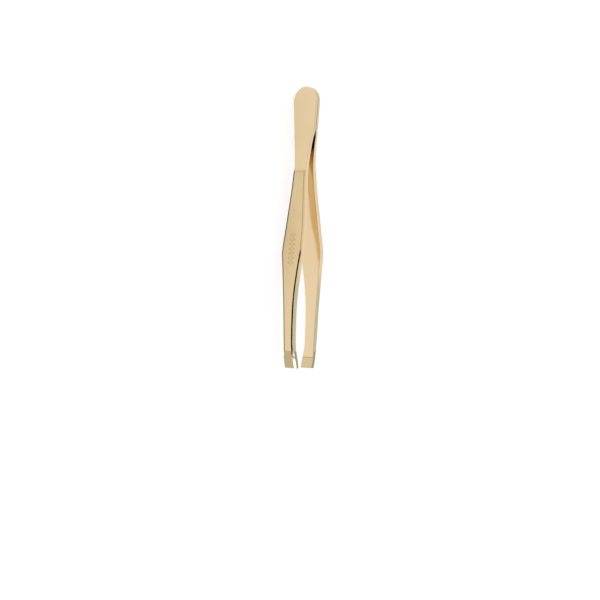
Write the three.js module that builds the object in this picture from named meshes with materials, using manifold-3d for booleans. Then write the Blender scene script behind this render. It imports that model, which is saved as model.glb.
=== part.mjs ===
// Eyebrow tweezers: two sprung arms, each stamped from gold plated stainless strip, spot welded
// face to face in a round head. Millimetres, +Z up.
// They lie on the long edges of their arms: X runs from the head (-X) to the tips (+X), the gap
// between the arms opens along Y, and the arms' width stands along Z. The origin is on the floor,
// under the middle of the length, in the plane midway between the two arms.
import * as THREE from 'three';
import { mergeVertices } from 'three/addons/utils/BufferGeometryUtils.js';
import Module from 'manifold-3d';

// ---- driving dimensions ----
const overallLength = 92; // from the head's round end to the tips' square ends

// widths of an arm, across its flat, and where along the length they stand
const paddleWidth = 9.9; // the head's round end is a half circle of this width
const shoulderAt = 13.6; // where the paddle gives way to the neck
const shoulderWidth = 8.7;
const neckTopAt = 20;
const neckTopWidth = 6.4;
const neckAt = 27; // narrowest place
const neckWidth = 5.1;
const bellyAt = 54.6; // the blunt corner at the blade's widest place
const bellyWidth = 8.5;
const flareFromBelly = 9.6; // a place on the blade's long flare, where fingers press
const flareWidth = 7.5;
const narrowing = 1.45; // how hollow the edge is from the belly to the slender end: 1 is straight
const slenderFromTip = 17.6;
const slenderWidth = 4.4;
const waistFromTip = 7;
const waistWidth = 3.95;
const tipFlareFromTip = 2.6;
const tipWidth = 4.9;

// distances of an arm's inner face from the plane midway between the arms
const seam = 0.1; // between the two leaves of the welded head, all told
const slotStart = 14.3; // where the leaves part
const joggleLength = 2.3; // they step apart over this short bend
const joggleOffset = 0.5;
const neckOffset = 0.9; // where the sprung neck ends
const gripOffset = 2.7; // on the flare
const bellyOffset = 3.92;
const bowFromTip = 21.6; // where the arms stand furthest apart
const bowOffset = 4.66;
const pinchFromTip = 9.8; // the arms turn inwards before the claw's bend
const pinchOffset = 4.42;
const creaseFromTip = 3.4; // the claw's sharp bend
const creaseOffset = 3.87;
const tipOffset = 3.14;

// thicknesses
const stripThickness = 2; // the blade, at the full thickness of the strip
const headThickness = 0.95; // ground thinner, so that the neck springs
const neckThickness = 1.35; // where the sprung neck ends
const stepAt = 27.1; // the ramp on the outer face between neck and blade
const stepLength = 1;
const tipGrindFromTip = 5.7; // the outer faces are ground down to the tips from here
const tipThickness = 1.75;

// bevels ground along both outer corners of each tip, from where its outer face is ground
const bevelAcross = 0.5; // how far a bevel reaches over the outer face
const bevelledEdge = 1; // the thickness it leaves at the edge
const bevelRunIn = 1.8;
const bevelStep = 0.3;
const bevelStart = 0.02; // the share of its full size that a bevel starts with

// the sprung neck between head and blade, and the clearance at each of its ends
const springFromJoggle = 0.3;
const springFromStep = 2.9;
const flexGap = 0.3;

// spot welds between the head's leaves
const weldDiameter = 3;
const weldPocket = 0.3; // how deep the fused spot reaches into each leaf
const weldClearance = 0.1;
const weldFromSlot = 3.6;
const firstWeldAt = 4.95;

// how finely curves are divided
const stationStep = 1;
const headSegments = 28;
const weldSegments = 24;

// ---- places worked out from them ----
const midHeight = Math.max(paddleWidth, bellyWidth) / 2;
const reach = 4 * overallLength; // longer than anything that is cut
const tipAt = overallLength;
const flareAt = bellyAt - flareFromBelly;
const slenderAt = tipAt - slenderFromTip;
const joggleEnd = slotStart + joggleLength;
const springStart = joggleEnd + springFromJoggle;
const springEnd = stepAt - springFromStep;

const wasm = await Module();
wasm.setup();

// A smooth curve through [place, value] keys that never overshoots them: cubic pieces whose slope
// at a key is the harmonic mean of the slopes on its two sides, and level at a peak or a dip.
function smoothThrough(keys) {
  const rise = keys.slice(1).map(([x, y], i) => (y - keys[i][1]) / (x - keys[i][0]));
  const slopes = keys.map((key, i) => {
    if (i === 0) return rise[0];
    if (i === keys.length - 1) return rise[i - 1];
    const [before, after] = [rise[i - 1], rise[i]];
    return before * after <= 0 ? 0 : (2 * before * after) / (before + after);
  });
  return (place) => {
    const last = keys.length - 2;
    const found = keys.findIndex(([x], i) => i > last || place < keys[i + 1][0]);
    const i = Math.min(found, last);
    const [x0, y0] = keys[i];
    const [x1, y1] = keys[i + 1];
    const span = x1 - x0;
    const t = THREE.MathUtils.clamp((place - x0) / span, 0, 1);
    const blend = t * t * (3 - 2 * t);
    const leave = t * (1 - t) * (1 - t) * span * slopes[i];
    const arrive = t * t * (t - 1) * span * slopes[i + 1];
    return y0 + (y1 - y0) * blend + leave + arrive;
  };
}

// A chain of straight lines through [place, value] keys.
function straightThrough(keys) {
  return (place) => {
    const after = keys.findIndex(([x]) => place < x);
    if (after === 0) return keys[0][1];
    if (after < 0) return keys[keys.length - 1][1];
    const [[x0, y0], [x1, y1]] = [keys[after - 1], keys[after]];
    return THREE.MathUtils.mapLinear(place, x0, x1, y0, y1);
  };
}

const widthToBelly = smoothThrough([
  [paddleWidth / 2, paddleWidth],
  [shoulderAt, shoulderWidth],
  [neckTopAt, neckTopWidth],
  [neckAt, neckWidth],
  [flareAt, flareWidth],
  [bellyAt, bellyWidth],
]);

const widthToTip = smoothThrough([
  [slenderAt, slenderWidth],
  [tipAt - waistFromTip, waistWidth],
  [tipAt - tipFlareFromTip, tipWidth],
  [tipAt, tipWidth],
]);

// Width of an arm at a distance from the head's round end.
function widthAt(place) {
  if (place <= bellyAt) return widthToBelly(place);
  if (place >= slenderAt) return widthToTip(place);
  const left = (slenderAt - place) / (slenderAt - bellyAt);
  return slenderWidth + (bellyWidth - slenderWidth) * left ** narrowing;
}

const offsetToCrease = smoothThrough([
  [slotStart, seam / 2],
  [joggleEnd, joggleOffset],
  [springEnd, neckOffset],
  [flareAt, gripOffset],
  [bellyAt, bellyOffset],
  [tipAt - bowFromTip, bowOffset],
  [tipAt - pinchFromTip, pinchOffset],
  [tipAt - creaseFromTip, creaseOffset],
]);

// Distance of an arm's inner face from the middle plane.
function innerAt(place) {
  const crease = tipAt - creaseFromTip;
  if (place <= slotStart) return seam / 2;
  if (place <= crease) return offsetToCrease(place);
  return THREE.MathUtils.mapLinear(place, crease, tipAt, creaseOffset, tipOffset);
}

const thicknessAt = straightThrough([
  [joggleEnd, headThickness],
  [springEnd, neckThickness],
  [stepAt, neckThickness],
  [stepAt + stepLength, stripThickness],
  [tipAt - tipGrindFromTip, stripThickness],
  [tipAt, tipThickness],
]);

// Places along the length at which the curves are cut into short straight lines: every step, and
// at each corner.
function stations(from, corners) {
  const count = Math.floor((tipAt - from) / stationStep);
  const even = Array.from({ length: count + 1 }, (_, i) => from + ((tipAt - from) * i) / count);
  const clear = even.filter((place) => corners.every((c) => Math.abs(c - place) > stationStep / 3));
  return [...clear, ...corners].sort((a, b) => a - b);
}

const toX = (place) => place - overallLength / 2;

function solidFrom(geometry) {
  geometry.deleteAttribute('normal');
  geometry.deleteAttribute('uv');
  const merged = mergeVertices(geometry, 1e-5);
  return new wasm.Manifold(
    new wasm.Mesh({
      numProp: 3,
      vertProperties: new Float32Array(merged.attributes.position.array),
      triVerts: new Uint32Array(merged.index.array),
    }),
  );
}

// The stamped outline, seen square on to the arm's flat, as a solid that runs through along Y.
function outlineSolid() {
  const centre = paddleWidth / 2;
  const places = stations(centre, [neckAt, bellyAt, tipAt - tipFlareFromTip, tipAt, centre]);
  const half = (place) => widthAt(place) / 2;
  const shape = new THREE.Shape();
  places.forEach((place, i) => {
    const [x, z] = [toX(place), -half(place)];
    if (i === 0) shape.moveTo(x, z);
    else shape.lineTo(x, z);
  });
  places.reverse().forEach((place) => shape.lineTo(toX(place), half(place)));
  shape.absarc(toX(centre), 0, half(centre), Math.PI / 2, (3 * Math.PI) / 2, false);
  const options = { depth: reach, bevelEnabled: false, curveSegments: headSegments };
  const geometry = new THREE.ExtrudeGeometry(shape, options);
  geometry.rotateX(Math.PI / 2);
  geometry.translate(0, reach / 2, midHeight);
  return solidFrom(geometry);
}

// The bent side profile of one arm, seen along its width, as a solid that runs through along Z.
// side is -1 for the front arm and 1 for the back arm.
function profileSolid(side) {
  const corners = [
    slotStart,
    stepAt,
    stepAt + stepLength,
    tipAt - tipGrindFromTip,
    tipAt - creaseFromTip,
    tipAt,
  ];
  const places = [0, ...stations(slotStart, corners)];
  const inner = places.map((p) => new THREE.Vector2(toX(p), side * innerAt(p)));
  const outer = places.map((p) => new THREE.Vector2(toX(p), side * (innerAt(p) + thicknessAt(p))));
  const shape = new THREE.Shape([...inner, ...outer.reverse()]);
  const geometry = new THREE.ExtrudeGeometry(shape, { depth: reach, bevelEnabled: false });
  geometry.translate(0, 0, -reach / 2);
  return solidFrom(geometry);
}

// A closed solid through triangles that stand one after another along X. turned is true where the
// triangles run the other way round, seen from the head.
function throughTriangles(triangles, turned) {
  const positions = triangles.flat().flatMap((point) => point.toArray());
  const last = 3 * (triangles.length - 1);
  const faces = [[0, 2, 1], [last, last + 1, last + 2]];
  for (let first = 0; first < last; first += 3) {
    for (let i = 0; i < 3; i += 1) {
      const next = (i + 1) % 3;
      faces.push([first + i, first + next, first + 3 + next]);
      faces.push([first + i, first + 3 + next, first + 3 + i]);
    }
  }
  const geometry = new THREE.BufferGeometry();
  geometry.setAttribute('position', new THREE.Float32BufferAttribute(positions, 3));
  geometry.setIndex(faces.flatMap((face) => (turned ? face.reverse() : face)));
  return solidFrom(geometry);
}

// What is ground off one outer corner of a tip. side is the arm's, as above, and up is 1 for the
// upper corner and -1 for the lower one. The cut grows to its full size over the run in.
function tipBevel(side, up) {
  const from = tipAt - tipGrindFromTip;
  const past = tipAt + bevelStep;
  const count = Math.round((past - from) / bevelStep);
  const triangles = Array.from({ length: count + 1 }, (_, i) => {
    const place = from + ((past - from) * i) / count;
    const grown = THREE.MathUtils.smoothstep(place, from, from + bevelRunIn);
    const size = bevelStart + (1 - bevelStart) * grown;
    const [outer, edge] = [innerAt(place) + thicknessAt(place), widthAt(place) / 2];
    const [deep, across] = [(thicknessAt(place) - bevelledEdge) * size, bevelAcross * size];
    const corners = [
      [outer + deep, edge - 2 * across],
      [outer - 2 * deep, edge + across],
      [outer + deep, edge + across],
    ];
    return corners.map(([y, z]) => new THREE.Vector3(toX(place), side * y, midHeight + up * z));
  });
  return throughTriangles(triangles, side * up > 0);
}

// Everything between two distances from the head's round end.
function slab(from, to) {
  const geometry = new THREE.BoxGeometry(to - from, reach, reach);
  geometry.translate(toX((from + to) / 2), 0, 0);
  return solidFrom(geometry);
}

// A disc across the seam, centred on the middle plane.
function weldDisc(place, diameter, thickness) {
  const geometry = new THREE.CylinderGeometry(diameter / 2, diameter / 2, thickness, weldSegments);
  geometry.translate(toX(place), 0, midHeight);
  return solidFrom(geometry);
}

const weldPlaces = [firstWeldAt, slotStart - weldFromSlot];
const weldDepth = seam + 2 * weldPocket; // through the seam and into both leaves

function weldPockets() {
  const pockets = weldPlaces.map((place) => weldDisc(place, weldDiameter, weldDepth));
  return pockets.reduce((all, pocket) => all.add(pocket));
}

function weldNugget(place) {
  return weldDisc(place, weldDiameter - 2 * weldClearance, weldDepth - 2 * weldClearance);
}

const goldPlate = { color: '#e4caa0', metalness: 1, roughness: 0.2 };
const weldMetal = { color: '#b9b2a6', metalness: 1, roughness: 0.5 };

function meshOf(name, solid, look) {
  const { vertProperties, triVerts } = solid.getMesh();
  const geometry = new THREE.BufferGeometry();
  geometry.setAttribute('position', new THREE.BufferAttribute(vertProperties, 3));
  geometry.setIndex(new THREE.BufferAttribute(triVerts, 1));
  geometry.computeVertexNormals();
  const mesh = new THREE.Mesh(geometry, new THREE.MeshStandardMaterial(look));
  mesh.name = name;
  return mesh;
}

// One arm: its half of the head, its sprung neck and its blade with the bent claw tip.
function arm(name, side) {
  const leaf = outlineSolid().intersect(profileSolid(side));
  const head = leaf.intersect(slab(-reach, springStart)).subtract(weldPockets());
  const spring = leaf.intersect(slab(springStart + flexGap, springEnd));
  const bevels = tipBevel(side, 1).add(tipBevel(side, -1));
  const blade = leaf.intersect(slab(springEnd + flexGap, reach)).subtract(bevels);
  const group = new THREE.Group();
  group.add(meshOf(`${name}_head_leaf`, head, goldPlate));
  group.add(meshOf(`${name}_neck_spring`, spring, goldPlate));
  group.add(meshOf(`${name}_blade`, blade, goldPlate));
  return group;
}

const tweezers = new THREE.Group();
tweezers.add(arm('front', -1));
tweezers.add(arm('back', 1));
tweezers.add(meshOf('end_spot_weld', weldNugget(weldPlaces[0]), weldMetal));
tweezers.add(meshOf('neck_spot_weld', weldNugget(weldPlaces[1]), weldMetal));

export default tweezers;
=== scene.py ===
"""Claw tip tweezers of gold plated spring steel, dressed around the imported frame.

Lengths inside the classes are in millimetres, and a mesh is scaled to metres as it is made. The
tweezers lie on their long edges: X runs from the head to the tips, Y across the gap between the
arms, and Z along the width of the arms.
"""

import logging
import math
from collections.abc import Sequence
from dataclasses import dataclass, field
from enum import Enum

import bpy
import numpy as np
from mathutils import Matrix, Vector


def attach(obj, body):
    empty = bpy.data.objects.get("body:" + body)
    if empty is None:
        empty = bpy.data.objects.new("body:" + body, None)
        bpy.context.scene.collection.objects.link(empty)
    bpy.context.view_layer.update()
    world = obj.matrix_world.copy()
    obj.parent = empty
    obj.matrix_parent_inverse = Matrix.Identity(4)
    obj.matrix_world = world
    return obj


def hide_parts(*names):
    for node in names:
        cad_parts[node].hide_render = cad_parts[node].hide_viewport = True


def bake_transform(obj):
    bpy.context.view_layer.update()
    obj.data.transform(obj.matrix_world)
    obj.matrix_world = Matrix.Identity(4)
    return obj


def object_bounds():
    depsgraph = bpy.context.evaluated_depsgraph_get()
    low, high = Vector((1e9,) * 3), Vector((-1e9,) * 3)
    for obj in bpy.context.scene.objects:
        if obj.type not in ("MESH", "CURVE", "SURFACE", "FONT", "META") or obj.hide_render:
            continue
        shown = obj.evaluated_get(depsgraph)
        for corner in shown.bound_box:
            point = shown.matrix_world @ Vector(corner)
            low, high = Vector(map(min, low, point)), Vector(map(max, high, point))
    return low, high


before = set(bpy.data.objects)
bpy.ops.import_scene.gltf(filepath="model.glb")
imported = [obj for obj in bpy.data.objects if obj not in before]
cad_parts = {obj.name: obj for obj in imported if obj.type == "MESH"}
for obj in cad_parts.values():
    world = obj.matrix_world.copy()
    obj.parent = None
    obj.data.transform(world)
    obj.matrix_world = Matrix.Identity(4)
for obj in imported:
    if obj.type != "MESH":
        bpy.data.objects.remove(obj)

LOG = logging.getLogger("tweezers")
CAD_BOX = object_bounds()
MM = 0.001
SHARP_ANGLE = math.radians(26)
SQUARE = math.pi / 2
MERGE_DIGITS = 5
Keys = Sequence[tuple[float, float]]
Corners = list[list[float]]
Line = np.ndarray | float
Tone = bpy.types.NodeSocket | tuple[float, float, float, float]
Socket = bpy.types.NodeSocket


class Side(Enum):
    """Which arm: the value is the sign of Y on that arm's side of the middle plane."""

    FRONT = -1
    BACK = 1


class Slot(Enum):
    """The material slots that the record names."""

    GOLD_PLATE = "gold_plate"
    WELD_METAL = "weld_metal"


# ---- curves ----


def smooth_through(keys: Keys, places: np.ndarray) -> np.ndarray:
    """Values of a smooth curve through keys that never overshoots them.

    Cubic pieces, whose slope at a key is the harmonic mean of the straight slopes on its two
    sides, and level where those slopes differ in sign. Outside the keys the end values go on.

    Args:
        keys: (place, value) pairs, in rising order of place.
        places: where the curve is wanted.

    Returns:
        One value for each place.
    """
    at, value = np.array(keys, dtype=float).T
    rise = np.diff(value) / np.diff(at)
    slope = np.concatenate([rise[:1], np.zeros(len(at) - 2), rise[-1:]])
    before, after = rise[:-1], rise[1:]
    agree = before * after > 0
    total = np.where(agree, before + after, 1.0)
    slope[1:-1] = np.where(agree, 2 * before * after / total, 0.0)
    i = np.clip(np.searchsorted(at, places, side="right") - 1, 0, len(at) - 2)
    span = at[i + 1] - at[i]
    t = np.clip((places - at[i]) / span, 0, 1)
    blend = t * t * (3 - 2 * t)
    leave = t * (1 - t) ** 2 * span * slope[i]
    arrive = t * t * (t - 1) * span * slope[i + 1]
    return value[i] + (value[i + 1] - value[i]) * blend + leave + arrive


def softened(values: np.ndarray, step: float, spread: float) -> np.ndarray:
    """Evens out the kinks of a curve that is sampled at even steps.

    Each value becomes the mean of its neighbours, weighted by a bell curve. The curve is carried
    on past its ends by turning it half a turn about them, so that the end values stay.

    Args:
        values: the samples.
        step: the distance between samples.
        spread: the bell curve's standard deviation, in the same unit as step.

    Returns:
        The evened samples.
    """
    reach = int(math.ceil(3 * spread / step))
    offsets = np.arange(-reach, reach + 1) * step
    weights = np.exp(-0.5 * (offsets / spread) ** 2)
    low = 2 * values[0] - values[reach:0:-1]
    high = 2 * values[-1] - values[-2 : -reach - 2 : -1]
    carried_on = np.concatenate([low, values, high])
    return np.convolve(carried_on, weights / weights.sum(), mode="valid")


def bell(values: np.ndarray, middle: float, spread: float) -> np.ndarray:
    """A bell curve of height 1: e to the power of minus the squared distance over the spread."""
    return np.exp(-(((values - middle) / spread) ** 2))


def rising(values: np.ndarray, low: Line, high: Line) -> np.ndarray:
    """A smooth step from 0 at low to 1 at high: 3 t squared less 2 t cubed."""
    t = np.clip((values - low) / (high - low), 0, 1)
    return t * t * (3 - 2 * t)


# ---- the shape of one arm ----


@dataclass(frozen=True)
class ArmForm:
    """The sizes of one stamped and bent arm, in millimetres along it from the head's round end."""

    length: float
    paddle_width: float = 9.9
    shoulder: tuple[float, float] = (13.6, 8.7)
    neck_top: tuple[float, float] = (20.0, 6.4)
    neck: tuple[float, float] = (27.0, 5.1)
    belly: tuple[float, float] = (54.6, 8.5)
    flare_from_belly: float = 9.6
    flare_width: float = 7.5
    narrowing: float = 1.45
    slender_from_tip: float = 17.6
    slender_width: float = 4.4
    waist_from_tip: float = 7.0
    waist_width: float = 3.95
    tip_flare_from_tip: float = 2.6
    tip_width: float = 4.9

    seam: float = 0.1
    slot_start: float = 14.3
    joggle: tuple[float, float] = (16.6, 0.5)
    spring_end: float = 24.2
    neck_offset: float = 0.9
    grip_offset: float = 2.7
    belly_offset: float = 3.92
    bow_from_tip: float = 21.6
    bow_offset: float = 4.66
    pinch_from_tip: float = 9.8
    pinch_offset: float = 4.42
    crease_from_tip: float = 3.4
    crease_offset: float = 3.87
    tip_offset: float = 3.14

    strip_thickness: float = 2.0
    head_thickness: float = 0.95
    neck_thickness: float = 1.35
    step_at: float = 27.1
    step_length: float = 1.0
    tip_grind_from_tip: float = 5.7
    tip_thickness: float = 1.75
    bevel_across: float = 0.5
    bevelled_edge: float = 1.0
    bevel_run_in: float = 1.8

    head_corner: float = 0.04
    blade_corner: float = 0.68
    head_inner_corner: float = 0.03
    inner_corner: float = 0.05
    end_corner: float = 0.3
    smallest_corner: float = 0.02
    end_round: float = 0.12
    crown: float = 0.05

    table_step: float = 0.05
    width_spread: float = 0.8
    offset_spread: float = 1.1
    bend_spread: float = 0.1

    def table(self) -> np.ndarray:
        """Even places along the whole arm, at which its curves are worked out."""
        return np.linspace(0, self.length, int(round(self.length / self.table_step)) + 1)

    def half_widths(self) -> np.ndarray:
        """Half the arm's width at each place of the table.

        Up to the belly it runs smoothly through the named widths. From there it narrows as a
        power of what is left of the way to the slender end, and then follows the tip's widths.

        Returns:
            One half width for each place.
        """
        u = self.table()
        flare_at = self.belly[0] - self.flare_from_belly
        slender_at = self.length - self.slender_from_tip
        to_belly = smooth_through(
            [
                (self.paddle_width / 2, self.paddle_width),
                self.shoulder,
                self.neck_top,
                self.neck,
                (flare_at, self.flare_width),
                self.belly,
            ],
            u,
        )
        to_tip = smooth_through(
            [
                (slender_at, self.slender_width),
                (self.length - self.waist_from_tip, self.waist_width),
                (self.length - self.tip_flare_from_tip, self.tip_width),
                (self.length, self.tip_width),
            ],
            u,
        )
        left = np.clip((slender_at - u) / (slender_at - self.belly[0]), 0, 1)
        hollow = self.slender_width + (self.belly[1] - self.slender_width) * left**self.narrowing
        width = np.where(u <= self.belly[0], to_belly, np.where(u < slender_at, hollow, to_tip))
        return softened(width, self.table_step, self.width_spread) / 2

    def inner_offsets(self) -> np.ndarray:
        """Distance of the inner face from the middle plane at each place of the table.

        A smooth curve carries the arm out from the slot, round the bow and in again, and the
        claw's bend is added to it as a straight line that starts at the crease.

        Returns:
            One distance for each place.
        """
        u = self.table()
        crease_at = self.length - self.crease_from_tip
        pinch_at = self.length - self.pinch_from_tip
        slope = (self.crease_offset - self.pinch_offset) / (crease_at - pinch_at)
        unbent_tip = self.crease_offset + slope * self.crease_from_tip
        curve = smooth_through(
            [
                (self.joggle[0], self.joggle[1]),
                (self.spring_end, self.neck_offset),
                (self.belly[0] - self.flare_from_belly, self.grip_offset),
                (self.belly[0], self.belly_offset),
                (self.length - self.bow_from_tip, self.bow_offset),
                (pinch_at, self.pinch_offset),
                (crease_at, self.crease_offset),
                (self.length, unbent_tip),
            ],
            u,
        )
        smooth = softened(curve, self.table_step, self.offset_spread)
        joggle = smooth_through([(self.slot_start, 0.0), (self.joggle[0], 1.0)], u)
        past = np.clip((u - crease_at) / self.crease_from_tip, 0, None)
        bend_shade_and_etch = smooth + past * (self.tip_offset - unbent_tip)
        bend_shade_and_etch = softened(bend_shade_and_etch, self.table_step, self.bend_spread)
        return self.seam / 2 + (bend_shade_and_etch - self.seam / 2) * joggle

    def thicknesses(self) -> np.ndarray:
        """Thickness at each place of the table: straight runs between the named ones.

        Returns:
            One thickness for each place, from face to face.
        """
        places, values = zip(
            (self.joggle[0], self.head_thickness),
            (self.spring_end, self.neck_thickness),
            (self.step_at, self.neck_thickness),
            (self.step_at + self.step_length, self.strip_thickness),
            (self.length - self.tip_grind_from_tip, self.strip_thickness),
            (self.length, self.tip_thickness),
        )
        runs = np.interp(self.table(), places, values)
        return softened(runs, self.table_step, self.bend_spread)

    def corners(self) -> tuple[np.ndarray, np.ndarray, np.ndarray]:
        """The corners of the outer face at each place of the table.

        A round corner reaches equally far over the face and down the edge. Over a short run in
        at the tips it turns into a flat bevel that leaves only a thin edge.

        Returns:
            How far a corner reaches over the face, how far down the edge, and how far it has
            turned from a quarter circle, at 0, into a flat bevel, at 1.
        """
        u = self.table()
        step_end = self.step_at + self.step_length
        grind_at = self.length - self.tip_grind_from_tip
        corner_keys = [(self.step_at, self.head_corner), (step_end, self.blade_corner)]
        radius = smooth_through(corner_keys, u)
        flat = smooth_through([(grind_at, 0.0), (grind_at + self.bevel_run_in, 1.0)], u)
        deep = self.thicknesses() - self.bevelled_edge
        over_face = radius + (self.bevel_across - radius) * flat
        down_edge = radius + (deep - radius) * flat
        return over_face, down_edge, flat

    def at(self, samples: np.ndarray, places: np.ndarray) -> np.ndarray:
        """Reads a table's samples at any places, with straight lines between them."""
        return np.interp(places, self.table(), samples)

    def outer_face(self, places: np.ndarray, heights: np.ndarray) -> np.ndarray:
        """Distance of the outer face from the middle plane.

        The inner face's distance and the thickness, with a crown that falls away from the
        middle line as the square of the height over it.

        Args:
            places: places along the arm.
            heights: heights over the arm's middle line.

        Returns:
            One distance for each place.
        """
        half = self.at(self.half_widths(), places)
        fall = self.crown * np.clip(np.abs(heights) / half, 0, 1) ** 2
        return self.at(self.inner_offsets() + self.thicknesses(), places) - fall


@dataclass(frozen=True)
class ArmGrid:
    """How finely an arm's surface is divided."""

    head_steps: int = 44
    side_step: float = 0.32
    fine_step: float = 0.06
    approach: float = 1.6
    approach_steps: int = 4
    corner_steps: int = 5
    end_steps: int = 15
    end_gap: float = 0.08
    joggle_margins: tuple[float, float] = (0.4, 0.6)
    step_margins: tuple[float, float] = (0.5, 0.5)
    grind_margins: tuple[float, float] = (0.5, 2.2)
    crease_margins: tuple[float, float] = (0.6, 0.6)
    inner_round_steps: int = 4
    wall_steps: int = 3
    outer_round_steps: int = 10
    relief: float = 0.12
    # How far past the corner the painted shadow line on the lower corners reaches over the outer face;
    # a row of the grid stands there.
    shadow_reflection_reach: float = 0.2
    face_steps: int = 8


def joined(
    points: np.ndarray, quads: np.ndarray
) -> tuple[np.ndarray, list[list[int]], np.ndarray]:
    """Merges points that coincide, and turns quads that lost a corner into triangles.

    Args:
        points: (n, 3) places.
        quads: (m, 4) indices of points.

    Returns:
        The points that are left, the faces as lists of three or four indices, and which of the
        points each one that is left came from.
    """
    _, first, number = np.unique(
        np.round(points, MERGE_DIGITS), axis=0, return_index=True, return_inverse=True
    )
    faces = number.reshape(-1)[quads]
    repeated = faces == np.roll(faces, -1, axis=1)
    whole = faces[~repeated.any(axis=1)]
    kept = [whole.tolist()]
    for corner in range(4):
        short = faces[repeated[:, corner] & (repeated.sum(axis=1) == 1)]
        kept.append(np.delete(short, corner, axis=1).tolist())
    return points[first], [face for group in kept for face in group], first


def smooth_mesh(name: str, points_mm: np.ndarray, faces: list[list[int]]) -> bpy.types.Object:
    """Makes a smooth shaded mesh object at the world's origin, with sharp edges kept.

    Args:
        name: the object's name.
        points_mm: (n, 3) places in millimetres.
        faces: for each face, the indices of its points.

    Returns:
        The mesh object, in metres.
    """
    mesh = bpy.data.meshes.new(name)
    mesh.from_pydata((points_mm * MM).tolist(), [], faces)
    mesh.polygons.foreach_set("use_smooth", np.ones(len(faces), dtype=bool))
    mesh.update()
    mesh.set_sharp_from_angle(angle=SHARP_ANGLE)
    piece = bpy.data.objects.new(name, mesh)
    bpy.context.collection.objects.link(piece)
    return piece


def mark_points(piece: bpy.types.Object, name: str, values: np.ndarray) -> None:
    """Gives a mesh object's points an attribute, with one value for each point."""
    attribute = piece.data.attributes.new(name, "FLOAT", "POINT")
    attribute.data.foreach_set("value", values.astype(np.float32))


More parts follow.
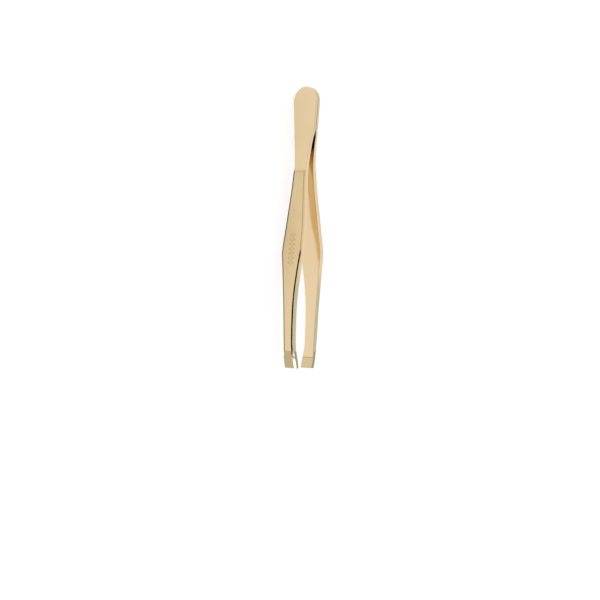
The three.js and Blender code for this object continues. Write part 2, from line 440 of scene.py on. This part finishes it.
@dataclass(frozen=True)
class WearAndPaintedLight:
    """How use and making have marked an arm, and where shade and a highlight are painted on it.

    Places are in millimetres, turns of the surface away from a face in radians, and shares go
    up to 1.
    """

    face_turn: float = math.radians(3)
    bevel_turn: float = math.radians(75)
    edge_turns: tuple[float, float] = (math.radians(60), math.radians(85))

    # The next five set a thin near-black line painted along the lower outer corners of the blade, a
    # painted reflection of the shadow on the table under the tweezers.
    shadow_reflection: float = 0.8
    shadow_reflection_loss: float = 0.2
    shadow_reflection_loss_run: tuple[float, float] = (46.0, 62.0)
    shadow_reflection_tip_loss: float = 0.8
    shadow_reflection_stop_from_tip: tuple[float, float] = (0.6, 0.4)
    tip_run: float = 0.5
    tip_edge: float = 0.35

    bare_head: float = 0.4
    bare_head_fade: float = 3.0
    bare_slender_run: tuple[float, float] = (58.0, 68.0)

    grind_blur: float = 0.12
    # The run over which the tips' bevels are painted pale, a painted highlight.
    bevel_run: tuple[float, float] = (0.2, 0.9)
    claw_inside: float = 0.45
    claw_blur: float = 0.05

    # The crease and ramp fields paint shade across the claw's crease and the blade's step.
    crease: float = 0.8
    crease_before: float = 0.1
    crease_spread: float = 0.16
    ramp: float = 0.35
    ramp_before: float = 0.3
    ramp_spread: float = 0.5

    # The next four paint shade on the inner faces between the leaves, by the slot.
    slot_shade_before_slot: float = 1.5
    slot_shade_thins: tuple[float, float] = (2.0, 5.0)
    slot_shade_thinned: float = 0.85
    slot_shade_ends: float = 12.0

    # The next three paint the outer faces darker than the inner ones, most on the blade: painted shade.
    outer_shade_head: float = 0.35
    outer_shade_loss: float = 0.6
    outer_shade_loss_run: tuple[float, float] = (44.0, 76.0)

    def marks(
        self,
        form: ArmForm,
        grid: ArmGrid,
        x: np.ndarray,
        z: np.ndarray,
        blend: np.ndarray,
        turn: np.ndarray,
    ) -> dict[str, np.ndarray]:
        """What use and making have left on the surface, and the painted shade and highlight, as one
        value from 0 to 1 per point.

        Each is a product of smooth steps and bell curves of the place along the arm, the height
        over its middle line, the share of the way from inner to outer face, and the turn round
        the outer corner.

        Args:
            form: the arm's sizes.
            grid: the steps of its surface.
            x: the place along the arm.
            z: the height over the arm's middle line, negative on the edge it lies on.
            blend: 0 on the inner face and 1 on the outer one.
            turn: how far the surface has turned from the face to the edge, in radians.

        Returns:
            An array for each attribute's name.
        """
        step_end = form.step_at + form.step_length
        crease = form.length - form.crease_from_tip
        grind = form.length - form.tip_grind_from_tip
        slot = form.joggle[0]
        outer, inner, face = blend == 1, blend == 0, turn < self.face_turn
        blade = rising(x, form.step_at, step_end)
        tip = rising(x, grind, grind + self.tip_run)
        edge = rising(turn, *self.edge_turns)

        # Painted shadow reflection: a thin dark line on the lower outer corners of the blade, fading
        # out near the tip.
        inside = form.at(form.half_widths(), x) - np.abs(z)
        reach = form.at(form.corners()[0], x) + grid.relief
        stop, stopped = (form.length - place for place in self.shadow_reflection_stop_from_tip)
        low_corner = 1 - rising(inside, reach, reach + grid.shadow_reflection_reach)
        low_corner = low_corner * (z < 0) * (1 - rising(x, stop, stopped))
        depth = self.shadow_reflection - self.shadow_reflection_loss * rising(x, *self.shadow_reflection_loss_run)
        depth = depth * (1 - self.shadow_reflection_tip_loss * tip)
        shadow_reflection = low_corner * (1 - edge) * blade * outer * depth

        bare_head = self.bare_head * (1 - rising(x, slot - self.bare_head_fade, slot))
        bare = edge * (bare_head + rising(x, *self.bare_slender_run))
        unbevelled = turn < self.bevel_turn
        ground = rising(x, grind - self.grind_blur, grind + self.grind_blur) * outer * unbevelled
        # Painted highlight: the tips' bevels are painted pale.
        bevel_start, bevel_full = (grind + place for place in self.bevel_run)
        bevel = rising(x, bevel_start, bevel_full) * outer * unbevelled * ~face
        claw = self.claw_inside * rising(x, crease - self.claw_blur, crease + self.claw_blur)

        # Painted shade in the claw's crease and on the blade's step.
        bend_shade_and_etching = self.crease * bell(x, crease - self.crease_before, self.crease_spread) * inner
        ramp = self.ramp * bell(x, step_end - self.ramp_before, self.ramp_spread) * outer

        # Painted shade on the inner faces between the leaves, from the slot towards the neck.
        thins, thinned = (slot + place for place in self.slot_shade_thins)
        deep = 1 - self.slot_shade_thinned * rising(x, thins, thinned)
        deep = deep - (1 - self.slot_shade_thinned) * rising(x, thinned, slot + self.slot_shade_ends)
        deep = deep * rising(x, form.slot_start - self.slot_shade_before_slot, form.slot_start)
        # Painted shade: the outer faces are darker, most on the blade.
        outer_shade = self.outer_shade_head + (1 - self.outer_shade_head) * blade
        outer_shade = outer_shade - self.outer_shade_loss * rising(x, *self.outer_shade_loss_run)
        return {
            # The lower corners' painted shadow reflection, with the tips' edges darkened too.
            "shadow_reflection_and_dark_tips": shadow_reflection + self.tip_edge * edge * tip,
            "bare": bare,
            "ground": ground + claw * inner,
            "bevel_highlight": bevel,
            "bend_shade_and_etching": bend_shade_and_etching + ramp,
            "outer_shade": outer_shade * outer,
            "painted_slot_shade": deep * inner * face,
        }


@dataclass(frozen=True)
class Arm:
    """One arm: half of the head, the sprung neck and the blade with its claw, in one strip."""

    side: Side
    form: ArmForm
    mid_height: float
    grid: ArmGrid = field(default_factory=ArmGrid)
    wear_and_light: WearAndPaintedLight = field(default_factory=WearAndPaintedLight)

    @property
    def name(self) -> str:
        """The arm's plain name."""
        return self.side.name.lower()

    def side_places(self) -> np.ndarray:
        """Places along the straight run of the outline, closer together at each bend.

        Returns:
            The places in rising order, from the head's circle to just before the tip's corner.
        """
        form, grid = self.form, self.grid
        start, end = form.paddle_width / 2, form.length - grid.approach
        crease = form.length - form.crease_from_tip
        grind = form.length - form.tip_grind_from_tip
        bends = [
            (form.slot_start, form.joggle[0], grid.joggle_margins),
            (form.step_at, form.step_at + form.step_length, grid.step_margins),
            (grind, grind, grid.grind_margins),
            (crease, crease, grid.crease_margins),
        ]
        even = np.arange(start, end, grid.side_step)
        close = [
            np.arange(low - before, high + after, grid.fine_step)
            for low, high, (before, after) in bends
        ]
        return np.unique(np.round(np.concatenate([even, *close, [end]]), 4))

    def counts(self) -> list[int]:
        """How many points each run of the outline has.

        Returns:
            The counts round the head, along the side, up to the corner, round it, and on the end.
        """
        grid = self.grid
        side = len(self.side_places())
        return [grid.head_steps, side, grid.approach_steps, grid.corner_steps, grid.end_steps]

    def ring(self, inset: np.ndarray) -> tuple[np.ndarray, np.ndarray]:
        """Half of the stamped outline, moved inwards by a distance that may change along it.

        It runs round a quarter of the head's circle, along the side, round the tip's corner and
        down the square end to the middle. Each point moves straight in from the edge.

        Args:
            inset: for each point of the outline, how far it stands inside the edge.

        Returns:
            The points' places along the arm, and their heights over its middle line.
        """
        form, grid = self.form, self.grid
        half = form.half_widths()
        lean = np.hypot(1.0, np.gradient(half, form.table_step))
        head, side, approach, corner, end = np.split(inset, np.cumsum(self.counts())[:-1])

        radius = form.paddle_width / 2
        turn = np.linspace(0, SQUARE, grid.head_steps, endpoint=False)
        head_x = radius - (radius - head) * np.cos(turn)
        head_z = (radius - head) * np.sin(turn)

        side_x = self.side_places()
        side_z = form.at(half, side_x) - side * form.at(lean, side_x)

        share = np.arange(1, grid.approach_steps + 1) / (grid.approach_steps + 1)
        bend = np.maximum(form.end_corner - approach, form.smallest_corner)
        reach = form.length - approach - bend
        approach_x = side_x[-1] + (reach - side_x[-1]) * share
        approach_z = form.at(half, approach_x) - approach

        turn = np.linspace(0, SQUARE, grid.corner_steps)
        bend = np.maximum(form.end_corner - corner, form.smallest_corner)
        corner_x = form.length - corner - bend * (1 - np.sin(turn))
        corner_z = half[-1] - corner - bend * (1 - np.cos(turn))

        share = np.arange(grid.end_steps) / (grid.end_steps - 1)
        bend = np.maximum(form.end_corner - end, form.smallest_corner)
        end_x = form.length - end
        end_z = (half[-1] - end - bend) * (1 - (share + grid.end_gap) / (1 + grid.end_gap))

        x = np.concatenate([head_x, side_x, approach_x, corner_x, end_x])
        z = np.concatenate([head_z, side_z, approach_z, corner_z, end_z])
        return x, z

    def half_plate(self) -> tuple[np.ndarray, np.ndarray, np.ndarray]:
        """The upper half of the arm as a grid: along the outline, and across from face to face.

        Across, the rows run from the middle line of the inner face out to the edge, round its
        small inner corner, up the edge, round the larger outer corner, and back over the outer
        face to the middle line. A corner's height falls away as a quarter circle does.

        Returns:
            The grid's points, of shape (along, across, 3), in millimetres and not yet mirrored.
            For each of them, its share of the way from the inner face to the outer one, and the
            turn of the surface away from them: 0 on a face, and a right angle on the edge.
        """
        form, grid = self.form, self.grid
        count = sum(self.counts())
        nothing = np.zeros(count)
        edge_x, edge_z = self.ring(nothing)
        corners = form.corners()
        over_face, _, edge_flat = (form.at(table, edge_x) for table in corners)
        inner_keys = [(form.slot_start, form.head_inner_corner), (form.joggle[0], form.inner_corner)]
        inner_radius = smooth_through(inner_keys, edge_x)
        at_end = np.arange(count) >= count - grid.corner_steps - grid.end_steps
        spine_end = form.length - form.tip_width / 2
        rows = []

        def row(x: Line, z: Line, low: Line, high: Line, blend: float, turn: Line) -> None:
            """Keeps one row: its place, what it drops from each face, its share and its turn."""
            rows.append((x, z, low, high, nothing + blend, nothing + turn))

        def outer_drop(x: Line, z: Line, inset: Line) -> tuple[Line, Line]:
            """How far the outer face falls some way inside the edge.

            Args:
                x: places along the arm.
                z: heights over the arm's middle line.
                inset: how far the places stand inside the side's edge.

            Returns:
                The fall, and how far the surface has turned there.
            """
            across, deep, flat = (form.at(table, x) for table in corners)
            below_side = np.maximum(form.at(form.half_widths(), x) - z, 0)
            from_side = np.where(at_end, below_side, inset)
            share = np.clip(1 - from_side / across, 0, 1)
            side = deep * ((1 - np.sqrt(1 - share**2)) * (1 - flat) + share * flat)
            past = np.clip(1 - (form.length - x) / form.end_round, 0, 1)
            drop = np.maximum(side, form.end_round * (1 - np.sqrt(1 - past**2)))
            return drop, np.arcsin(np.maximum(share, past))

        def outer_row(x: Line, z: Line, inset: Line) -> None:
            """Keeps one row of the outer face or its corner, at the drop that it has there."""
            drop, turn = outer_drop(x, z, inset)
            row(x, z, nothing, drop, 1, turn)

        def face_shares(inset: Line) -> list[tuple[Line, Line]]:
            """Places over a flat face, from its middle line out to some way inside the edge.

            Args:
                inset: how far the outermost places stand inside the edge.

            Returns:
                For each row, its places along the arm and its heights.
            """
            rim_x, rim_z = self.ring(inset)
            spine_x = np.clip(rim_x, form.paddle_width / 2, spine_end)
            shares = np.linspace(0, 1, grid.face_steps)
            return [(spine_x + (rim_x - spine_x) * share, rim_z * share) for share in shares]

        def inner_corner_rows() -> None:
            """Rows round the inner corner, from the face to the edge."""
            for turn in np.linspace(0, SQUARE, grid.inner_round_steps):
                x, z = self.ring(inner_radius * (1 - math.sin(turn)))
                row(x, z, inner_radius * (1 - math.cos(turn)), nothing, 0, turn)

        def outer_corner_rows() -> None:
            """Rows round the outer corner, from the edge to the face."""
            for turn in np.linspace(SQUARE, 0, grid.outer_round_steps):
                reach = math.sin(turn) * (1 - edge_flat) + turn / SQUARE * edge_flat
                inset = over_face * (1 - reach)
                outer_row(*self.ring(inset), inset)

        for x, z in face_shares(inner_radius + grid.relief):
            row(x, z, nothing, nothing, 0, nothing)
        inner_corner_rows()
        for share in np.linspace(0, 1, grid.wall_steps + 2)[1:-1]:
            drop, _ = outer_drop(edge_x, edge_z, nothing)
            row(edge_x, edge_z, inner_radius, drop, share, SQUARE)
        outer_corner_rows()
        inset = over_face + grid.relief
        outer_row(*self.ring(inset), inset)
        # A row where the painted shadow line on the lower corners fades out.
        inset = over_face + grid.shadow_reflection_reach + grid.relief
        for x, z in reversed(face_shares(inset)):
            outer_row(x, z, inset)

        x, z, low, high, blend, turn = (np.stack(part, axis=1) for part in zip(*rows))
        inner = form.at(form.inner_offsets(), x)
        rim = inner + form.at(form.thicknesses(), x) - form.crown
        bottom, top = inner + low, np.where(blend == 1, form.outer_face(x, z), rim) - high
        y = bottom + (top - bottom) * blend
        return np.stack([x, y, z], axis=2), blend, turn

    def build(self) -> bpy.types.Object:
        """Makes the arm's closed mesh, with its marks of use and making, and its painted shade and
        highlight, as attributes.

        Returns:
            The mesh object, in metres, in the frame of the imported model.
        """
        upper, blend, turn = self.half_plate()
        along, across = upper.shape[:2]
        flat = upper.reshape(-1, 3)
        points = np.concatenate([flat, flat * (1, 1, -1)]) + 0.0
        number = np.arange(along * across).reshape(along, across)
        corners = [number[:-1, :-1], number[1:, :-1], number[1:, 1:], number[:-1, 1:]]
        quads = np.stack(corners, axis=2).reshape(-1, 4)
        faces = np.concatenate([quads, quads[:, ::-1] + along * across])
        if self.side is Side.FRONT:
            faces = faces[:, ::-1]
        place = np.array([-self.form.length / 2, 0.0, self.mid_height])
        kept, merged, first = joined(points * (1, self.side.value, 1) + place, faces)
        piece = smooth_mesh(f"{self.name}_arm", kept, merged)
        marks = self.wear_and_light.marks(
            self.form,
            self.grid,
            np.tile(flat[:, 0], 2),
            np.concatenate([flat[:, 2], -flat[:, 2]]),
            np.tile(blend.reshape(-1), 2),
            np.tile(turn.reshape(-1), 2),
        )
        for name, values in marks.items():
            mark_points(piece, name, values[first])
        return piece


@dataclass(frozen=True)
class EtchedFrames:
    """A column of small lozenge frames etched along the front blade's outer face.

    Each frame is a closed band: its outline satisfies |x| / length + |z| / height = one half,
    its stroke narrows towards the middle, and its cross-section stands a few micrometres proud
    of the face and reaches a little under it.
    """

    form: ArmForm
    mid_height: float
    first: float = 48.7
    pitch: float = 1.5
    count: int = 7
    length: float = 1.25
    height: float = 2.9
    above_middle: float = 0.3
    inner_share: float = 0.6
    proud: float = 0.006
    sunk: float = 0.03
    around: int = 32
    darkness: float = 0.5

    def build(self) -> bpy.types.Object:
        """Makes all the frames as one mesh.

        Returns:
            The mesh object, in metres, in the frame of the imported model.
        """
        turn = np.linspace(0, 2 * math.pi, self.around, endpoint=False)[None, :, None]
        out = 0.5 / (np.abs(np.cos(turn)) + np.abs(np.sin(turn)))
        share = np.array([1.0, 1.0, self.inner_share, self.inner_share])
        lift = np.array([-self.sunk, self.proud, self.proud, -self.sunk])
        middle = self.first + self.pitch * np.arange(self.count)[:, None, None]
        x = middle + self.length * out * np.cos(turn) * share
        z = self.height * out * np.sin(turn) * share + self.above_middle + 0 * middle
        y = self.form.outer_face(x, z) + lift
        points = np.stack([x, y, z], axis=3).reshape(-1, 3)
        points = points * (1, Side.FRONT.value, 1)
        points = points + (-self.form.length / 2, 0, self.mid_height)
        number = np.arange(len(points)).reshape(self.count, self.around, len(share))
        onward = np.roll(number, -1, axis=1)
        corners = [number, onward, np.roll(onward, -1, axis=2), np.roll(number, -1, axis=2)]
        quads = np.stack(corners, axis=3).reshape(-1, 4)
        piece = smooth_mesh("etched_frames", points, quads.tolist())
        # The frames take the etching's darker tone, and the painted shade of the outer face they stand
        # on.
        mark_points(piece, "bend_shade_and_etching", np.full(len(points), self.darkness))
        mark_points(piece, "outer_shade", np.ones(len(points)))
        return piece


# ---- materials ----


def linear(colour: str) -> tuple[float, float, float, float]:
    """Turns an sRGB hex colour into a linear one, by the sRGB standard's curve.

    Args:
        colour: a hash sign and six hex digits.

    Returns:
        Red, green, blue and an alpha of 1.
    """
    parts = [int(colour[i : i + 2], 16) / 255 for i in (1, 3, 5)]
    lit = [p / 12.92 if p <= 0.04045 else ((p + 0.055) / 1.055) ** 2.4 for p in parts]
    return (*lit, 1.0)


def blank(name: str) -> tuple[bpy.types.Material, bpy.types.NodeTree, bpy.types.Node]:
    """Makes a new material with nodes.

    Args:
        name: the material's name.

    Returns:
        The material, its node tree, and the shader in it.
    """
    material = bpy.data.materials.new(name)
    material.use_nodes = True
    return material, material.node_tree, material.node_tree.nodes["Principled BSDF"]


def add_node(tree: bpy.types.NodeTree, kind: str, settings: dict, links: dict) -> bpy.types.Node:
    """Adds one node with its settings and its inputs.

    Args:
        tree: the material's node tree.
        kind: the node's type name.
        settings: the node's own properties, by name.
        links: for each input, by name or number, the output that feeds it or its value.

    Returns:
        The new node.
    """
    node = tree.nodes.new(kind)
    for name, value in settings.items():
        setattr(node, name, value)
    for name, source in links.items():
        if isinstance(source, bpy.types.NodeSocket):
            tree.links.new(source, node.inputs[name])
        else:
            node.inputs[name].default_value = source
    return node


@dataclass(frozen=True)
class BuffedGoldPlate:
    """Thin pale gold plating on buffed stainless steel, as on a boxed beauty tool.

    Electroplated over a buffed surface, so it mirrors its surroundings with a faint haze. The
    buffing wheel ran along the strip and left hairlines about 0.05 mm apart, drawn 0.3 mm apart
    because finer ones don't show. The outer faces are painted a little darker than the inner ones,
    a painted shade, and the plating is thin and greyer on some stamped edges. The tips' ground
    faces are satin, with bevels painted pale as a painted highlight, and painted shade darkens the
    claw's crease and the blade's step. A thin line along the blade's lower corners is painted near
    black, a painted reflection of the shadow on the table under the tweezers, the tips' edges are
    darkened too, and painted shade darkens the inner faces between the leaves by the slot.
    """

    name: str = "gold plate, buffed"
    clean: str = "#E7CFA8"
    # Painted shade: the darker tones of the outer faces, with random clouds between them.
    outer_shade: str = "#D9C195"
    clouded: str = "#D0B789"
    thin: str = "#C2B898"
    satin: str = "#BFA97F"
    # Painted highlight on the tips' bevels.
    bevel_highlight: str = "#F2EAD8"
    # Painted shade at the claw's crease and the blade's step, also the etched frames' tone.
    bend_shade_and_etch: str = "#A98C5A"
    # Near black: the painted reflection of the shadow on the lower corners, and the tips' darkened
    # edges.
    near_black: str = "#0C0A07"
    # Painted shade on the inner faces between the leaves.
    slot_shade: str = "#1D1612"
    roughness: float = 0.08
    haze: float = 0.07
    satin_roughness: float = 0.28
    dark_mark_roughness: float = 0.5
    hairline_mm: float = 0.3
    hairline_length_mm: float = 16.0
    hairline_depth_mm: float = 0.0002
    hairline_tone: float = 0.25
    cloud_mm: float = 11.0
    fineness: float = 3.0
    fine_share: float = 0.55
    cloud_range: tuple[float, float] = (0.35, 0.65)
    tone_range: tuple[float, float] = (0.35, 0.7)
    haze_range: tuple[float, float] = (0.3, 0.75)

    def build(self) -> bpy.types.Material:
        """Makes the material.

        Returns:
            The new material.
        """
        material, tree, shader = blank(self.name)
        place = add_node(tree, "ShaderNodeTexCoord", {}, {}).outputs["Object"]

        def noise(vector: Socket, scale: float) -> Socket:
            """A noise pattern's strength."""
            grain = {"Scale": scale, "Detail": self.fineness, "Roughness": self.fine_share}
            return add_node(tree, "ShaderNodeTexNoise", {}, {"Vector": vector} | grain).outputs["Fac"]

        def spread(value: Socket, limits: tuple[float, float], top: float) -> Socket:
            """Stretches the part of a pattern between two limits to 0 and top."""
            links = {"Value": value, "From Min": limits[0], "From Max": limits[1], "To Max": top}
            return add_node(tree, "ShaderNodeMapRange", {}, links).outputs[0]

        def mark(name: str) -> Socket:
            """One of the surface's own attributes."""
            return add_node(tree, "ShaderNodeAttribute", {"attribute_name": name}, {}).outputs["Fac"]

        def over(base: Tone, colour: Tone, share: Socket) -> Socket:
            """Lays a colour over another by a share."""
            links = {0: share, 6: base, 7: colour}
            return add_node(tree, "ShaderNodeMix", {"data_type": "RGBA"}, links).outputs[2]

        def between(base: Socket, value: float, share: Socket) -> Socket:
            """Moves a number towards a value by a share."""
            links = {0: share, 2: base, 3: value}
            return add_node(tree, "ShaderNodeMix", {"data_type": "FLOAT"}, links).outputs[0]

        across = 1 / (self.hairline_mm * MM)
        along = 1 / (self.hairline_length_mm * MM)
        stretch = {"Vector": place, "Scale": (along, across, across)}
        stretched = add_node(tree, "ShaderNodeMapping", {}, stretch).outputs[0]
        hairlines = noise(stretched, 1.0)
        clouds = noise(place, 1 / (self.cloud_mm * MM))

        clean = linear(self.clean)
        # Painted shade: the outer faces take the darker tones, clouded at random and streaked by the
        # hairlines.
        shaded_clouds = over(linear(self.outer_shade), linear(self.clouded), spread(clouds, self.cloud_range, 1.0))
        streaked = over(shaded_clouds, clean, spread(hairlines, self.tone_range, self.hairline_tone))
        tone = over(clean, streaked, mark("outer_shade"))
        # Edge grey and satin are the metal's own; the bevels' pale tone is a painted highlight; the
        # bends and the leaves by the slot take painted shade, the etched frames their darker tone, and
        # the lower corners a painted shadow reflection, with the tips' edges darkened.
        layers = {
            "bare": self.thin,
            "ground": self.satin,
            "bevel_highlight": self.bevel_highlight,
            "bend_shade_and_etching": self.bend_shade_and_etch,
            "shadow_reflection_and_dark_tips": self.near_black,
            "painted_slot_shade": self.slot_shade,
        }
        for name, colour in layers.items():
            tone = over(tone, linear(colour), mark(name))

        polish = {0: spread(hairlines, self.haze_range, self.haze), 1: self.roughness}
        polished = add_node(tree, "ShaderNodeMath", {"operation": "ADD"}, polish).outputs[0]
        satin = between(polished, self.satin_roughness, mark("ground"))
        grooves = {"Height": hairlines, "Distance": self.hairline_depth_mm * MM, "Strength": 1.0}
        relief = add_node(tree, "ShaderNodeBump", {}, grooves).outputs[0]
        shader.inputs["Metallic"].default_value = 1.0
        tree.links.new(tone, shader.inputs["Base Color"])
        tree.links.new(between(satin, self.dark_mark_roughness, mark("shadow_reflection_and_dark_tips")), shader.inputs["Roughness"])
        tree.links.new(relief, shader.inputs["Normal"])
        return material


@dataclass(frozen=True)
class WeldMetal:
    """Fused stainless steel of a spot weld: dull grey, with a grainy skin of about 0.2 mm."""

    name: str = "stainless steel, spot welded"
    colour: str = "#B5AFA4"
    scorched: str = "#8C7F70"
    roughness: float = 0.5
    grain_mm: float = 0.2
    grain_depth_mm: float = 0.02
    grain_strength: float = 0.6
    fineness: float = 3.0

    def build(self) -> bpy.types.Material:
        """Makes the material.

        Returns:
            The new material.
        """
        material, tree, shader = blank(self.name)
        place = add_node(tree, "ShaderNodeTexCoord", {}, {}).outputs["Object"]
        links = {"Vector": place, "Scale": 1 / (self.grain_mm * MM), "Detail": self.fineness}
        grain = add_node(tree, "ShaderNodeTexNoise", {}, links).outputs["Fac"]
        links = {0: grain, 6: linear(self.colour), 7: linear(self.scorched)}
        tone = add_node(tree, "ShaderNodeMix", {"data_type": "RGBA"}, links).outputs[2]
        bumps = {"Height": grain, "Distance": self.grain_depth_mm * MM, "Strength": self.grain_strength}
        relief = add_node(tree, "ShaderNodeBump", {}, bumps).outputs[0]
        shader.inputs["Metallic"].default_value = 1.0
        shader.inputs["Roughness"].default_value = self.roughness
        tree.links.new(tone, shader.inputs["Base Color"])
        tree.links.new(relief, shader.inputs["Normal"])
        return material


@dataclass(frozen=True)
class PlainLight:
    """A surface of the studio: matt paint that also glows, or black card when both are low."""

    name: str
    colour: str
    glow: float = 0.0

    def build(self) -> bpy.types.Material:
        """Makes the material.

        Returns:
            The new material.
        """
        material, _, shader = blank(self.name)
        shader.inputs["Base Color"].default_value = linear(self.colour)
        shader.inputs["Roughness"].default_value = 1.0
        shader.inputs["Specular IOR Level"].default_value = 0.0
        shader.inputs["Emission Color"].default_value = (1.0, 1.0, 1.0, 1.0)
        shader.inputs["Emission Strength"].default_value = self.glow
        return material


# ---- the tweezers ----


@dataclass
class Tweezers:
    """Both arms and the welds that join them."""

    form: ArmForm
    mid_height: float
    gold: bpy.types.Material
    weld: bpy.types.Material

    def build_arm(self, side: Side) -> bpy.types.Object:
        """Builds one arm, which bends in its neck between the head and the blade.

        Args:
            side: which arm.

        Returns:
            The arm's mesh object.
        """
        arm = Arm(side, self.form, self.mid_height)
        piece = arm.build()
        piece.data.materials.append(self.gold)
        name = arm.name
        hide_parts(f"{name}_head_leaf", f"{name}_neck_spring", f"{name}_blade")
        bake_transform(piece)
        LOG.info("%s: %d faces", piece.name, len(piece.data.polygons))
        return piece

    def build_frames(self) -> bpy.types.Object:
        """Builds the etched frames, which ride on the front blade.

        Returns:
            The frames' mesh object.
        """
        piece = EtchedFrames(self.form, self.mid_height).build()
        piece.data.materials.append(self.gold)
        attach(piece, "front_arm")
        LOG.info("%s: %d faces", piece.name, len(piece.data.polygons))
        return piece

    def dress_welds(self) -> None:
        """Gives the two packed spot welds their metal."""
        for name in ("end_spot_weld", "neck_spot_weld"):
            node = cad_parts[name]
            node.data.materials.clear()
            node.data.materials.append(self.weld)
            LOG.info("%s: dressed", name)


# ---- studio ----


@dataclass(frozen=True)
class Studio:
    """A white table, soft white light all round, a softbox, and two cards beyond the camera.

    The cards stand square to the line of sight. Their places are given in metres from that line,
    up being the way that the head points.
    """

    table_size: float = 3.0
    sky: float = 1.0
    card_distance: float = 0.85
    dark_card_size: tuple[float, float] = (1.6, 0.76)
    dark_card_up: float = -0.2
    grey_card_size: tuple[float, float] = (0.5, 0.18)
    grey_card_up: float = 0.27
    softbox_size: tuple[float, float] = (0.31, 0.5)
    softbox_middle: tuple[float, float, float] = (0.29, -0.17, 0.75)
    table_paint: PlainLight = PlainLight("opal light table", "#8C8C8C", 0.82)
    dark_paint: PlainLight = PlainLight("black card", "#0A0A0A")
    grey_paint: PlainLight = PlainLight("grey card", "#000000", 0.5)
    softbox_cloth: PlainLight = PlainLight("softbox", "#000000", 1.8)

    def plane(
        self, name: str, size: tuple[float, float], place: Matrix, surface: PlainLight
    ) -> bpy.types.Object:
        """A flat rectangle of the stage.

        Args:
            name: the object's name.
            size: its two sides, in metres.
            place: where its middle goes, and how it is turned.
            surface: what it is covered with.

        Returns:
            The mesh object, marked as part of the stage.
        """
        x, y = size[0] / 2, size[1] / 2
        corners = [(-x, -y, 0), (x, -y, 0), (x, y, 0), (-x, y, 0)]
        mesh = bpy.data.meshes.new(name)
        mesh.from_pydata([place @ Vector(corner) for corner in corners], [], [(0, 1, 2, 3)])
        mesh.materials.append(surface.build())
        piece = bpy.data.objects.new(name, mesh)
        bpy.context.collection.objects.link(piece)
        LOG.info("%s: placed", name)
        return piece

    def build(self, camera: "View") -> None:
        """Makes the table, the sky, the cards and the softbox.

        Args:
            camera: the view that the cards stand behind.
        """
        self.plane("table", (self.table_size, self.table_size), Matrix.Identity(4), self.table_paint)

        world = bpy.data.worlds.new("white room")
        world.use_nodes = True
        background = world.node_tree.nodes["Background"]
        background.inputs["Color"].default_value = (1, 1, 1, 1)
        background.inputs["Strength"].default_value = self.sky
        bpy.context.scene.world = world

        turned = camera.turned()
        for name, size, up, paint in (
            ("dark_card", self.dark_card_size, self.dark_card_up, self.dark_paint),
            ("grey_card", self.grey_card_size, self.grey_card_up, self.grey_paint),
        ):
            middle = camera.target() + turned @ Vector((0, up, self.card_distance))
            self.plane(name, size, Matrix.Translation(middle) @ turned.to_4x4(), paint)
        above_tips = Matrix.Translation(self.softbox_middle)
        self.plane("softbox", self.softbox_size, above_tips, self.softbox_cloth)


@dataclass(frozen=True)
class View:
    """The camera: where it looks from, and how the tweezers stand in its frame."""

    rise: float = math.radians(42)
    lean: float = math.radians(1.57)
    distance: float = 0.55
    frame_height: float = 0.1962
    below_middle: float = 0.02372
    left_of_middle: float = 0.00111
    sensor: float = 36.0

    def turned(self) -> Matrix:
        """The camera's turn: raised above the table, and leant a little about its line of sight.

        Returns:
            A matrix whose columns are the camera's right, its up and its way back.
        """
        right = Vector((0, math.sin(self.rise), math.cos(self.rise)))
        up = Vector((-1, 0, 0))
        back = Vector((0, -math.cos(self.rise), math.sin(self.rise)))
        rolled_right = math.cos(self.lean) * right + math.sin(self.lean) * up
        rolled_up = math.cos(self.lean) * up - math.sin(self.lean) * right
        return Matrix((rolled_right, rolled_up, back)).transposed()

    def target(self) -> Vector:
        """The point that the middle of the frame looks at.

        Returns:
            The point, down and to the left of the tweezers' middle as the camera sees them.
        """
        middle = Vector((0, 0, (CAD_BOX[0][2] + CAD_BOX[1][2]) / 2))
        down_and_left = Vector((-self.left_of_middle, -self.below_middle, 0))
        return middle + self.turned() @ down_and_left

    def build(self) -> None:
        """Makes the camera and sets it as the scene's."""
        data = bpy.data.cameras.new("camera")
        data.sensor_width = self.sensor
        data.lens = self.sensor * self.distance / self.frame_height
        camera = bpy.data.objects.new("camera", data)
        bpy.context.collection.objects.link(camera)
        place = self.target() + self.turned() @ Vector((0, 0, self.distance))
        camera.matrix_world = Matrix.Translation(place) @ self.turned().to_4x4()
        bpy.context.scene.camera = camera


def rows(box: Sequence) -> Corners:
    """A box's corners as plain lists of numbers."""
    return [[float(value) for value in corner] for corner in box]


def main() -> None:
    """Builds the view, the tweezers and the studio."""
    logging.basicConfig(level=logging.INFO, format="%(message)s")
    bpy.context.scene.view_settings.view_transform = "Standard"
    view = View()
    view.build()
    low, high = CAD_BOX
    form = ArmForm(length=(high[0] - low[0]) / MM)
    mid_height = (low[2] + high[2]) / 2 / MM
    tweezers = Tweezers(form, mid_height, BuffedGoldPlate().build(), WeldMetal().build())
    for side in Side:
        tweezers.build_arm(side)
    tweezers.build_frames()
    tweezers.dress_welds()
    Studio().build(view)


if __name__ == "__main__":
    main()
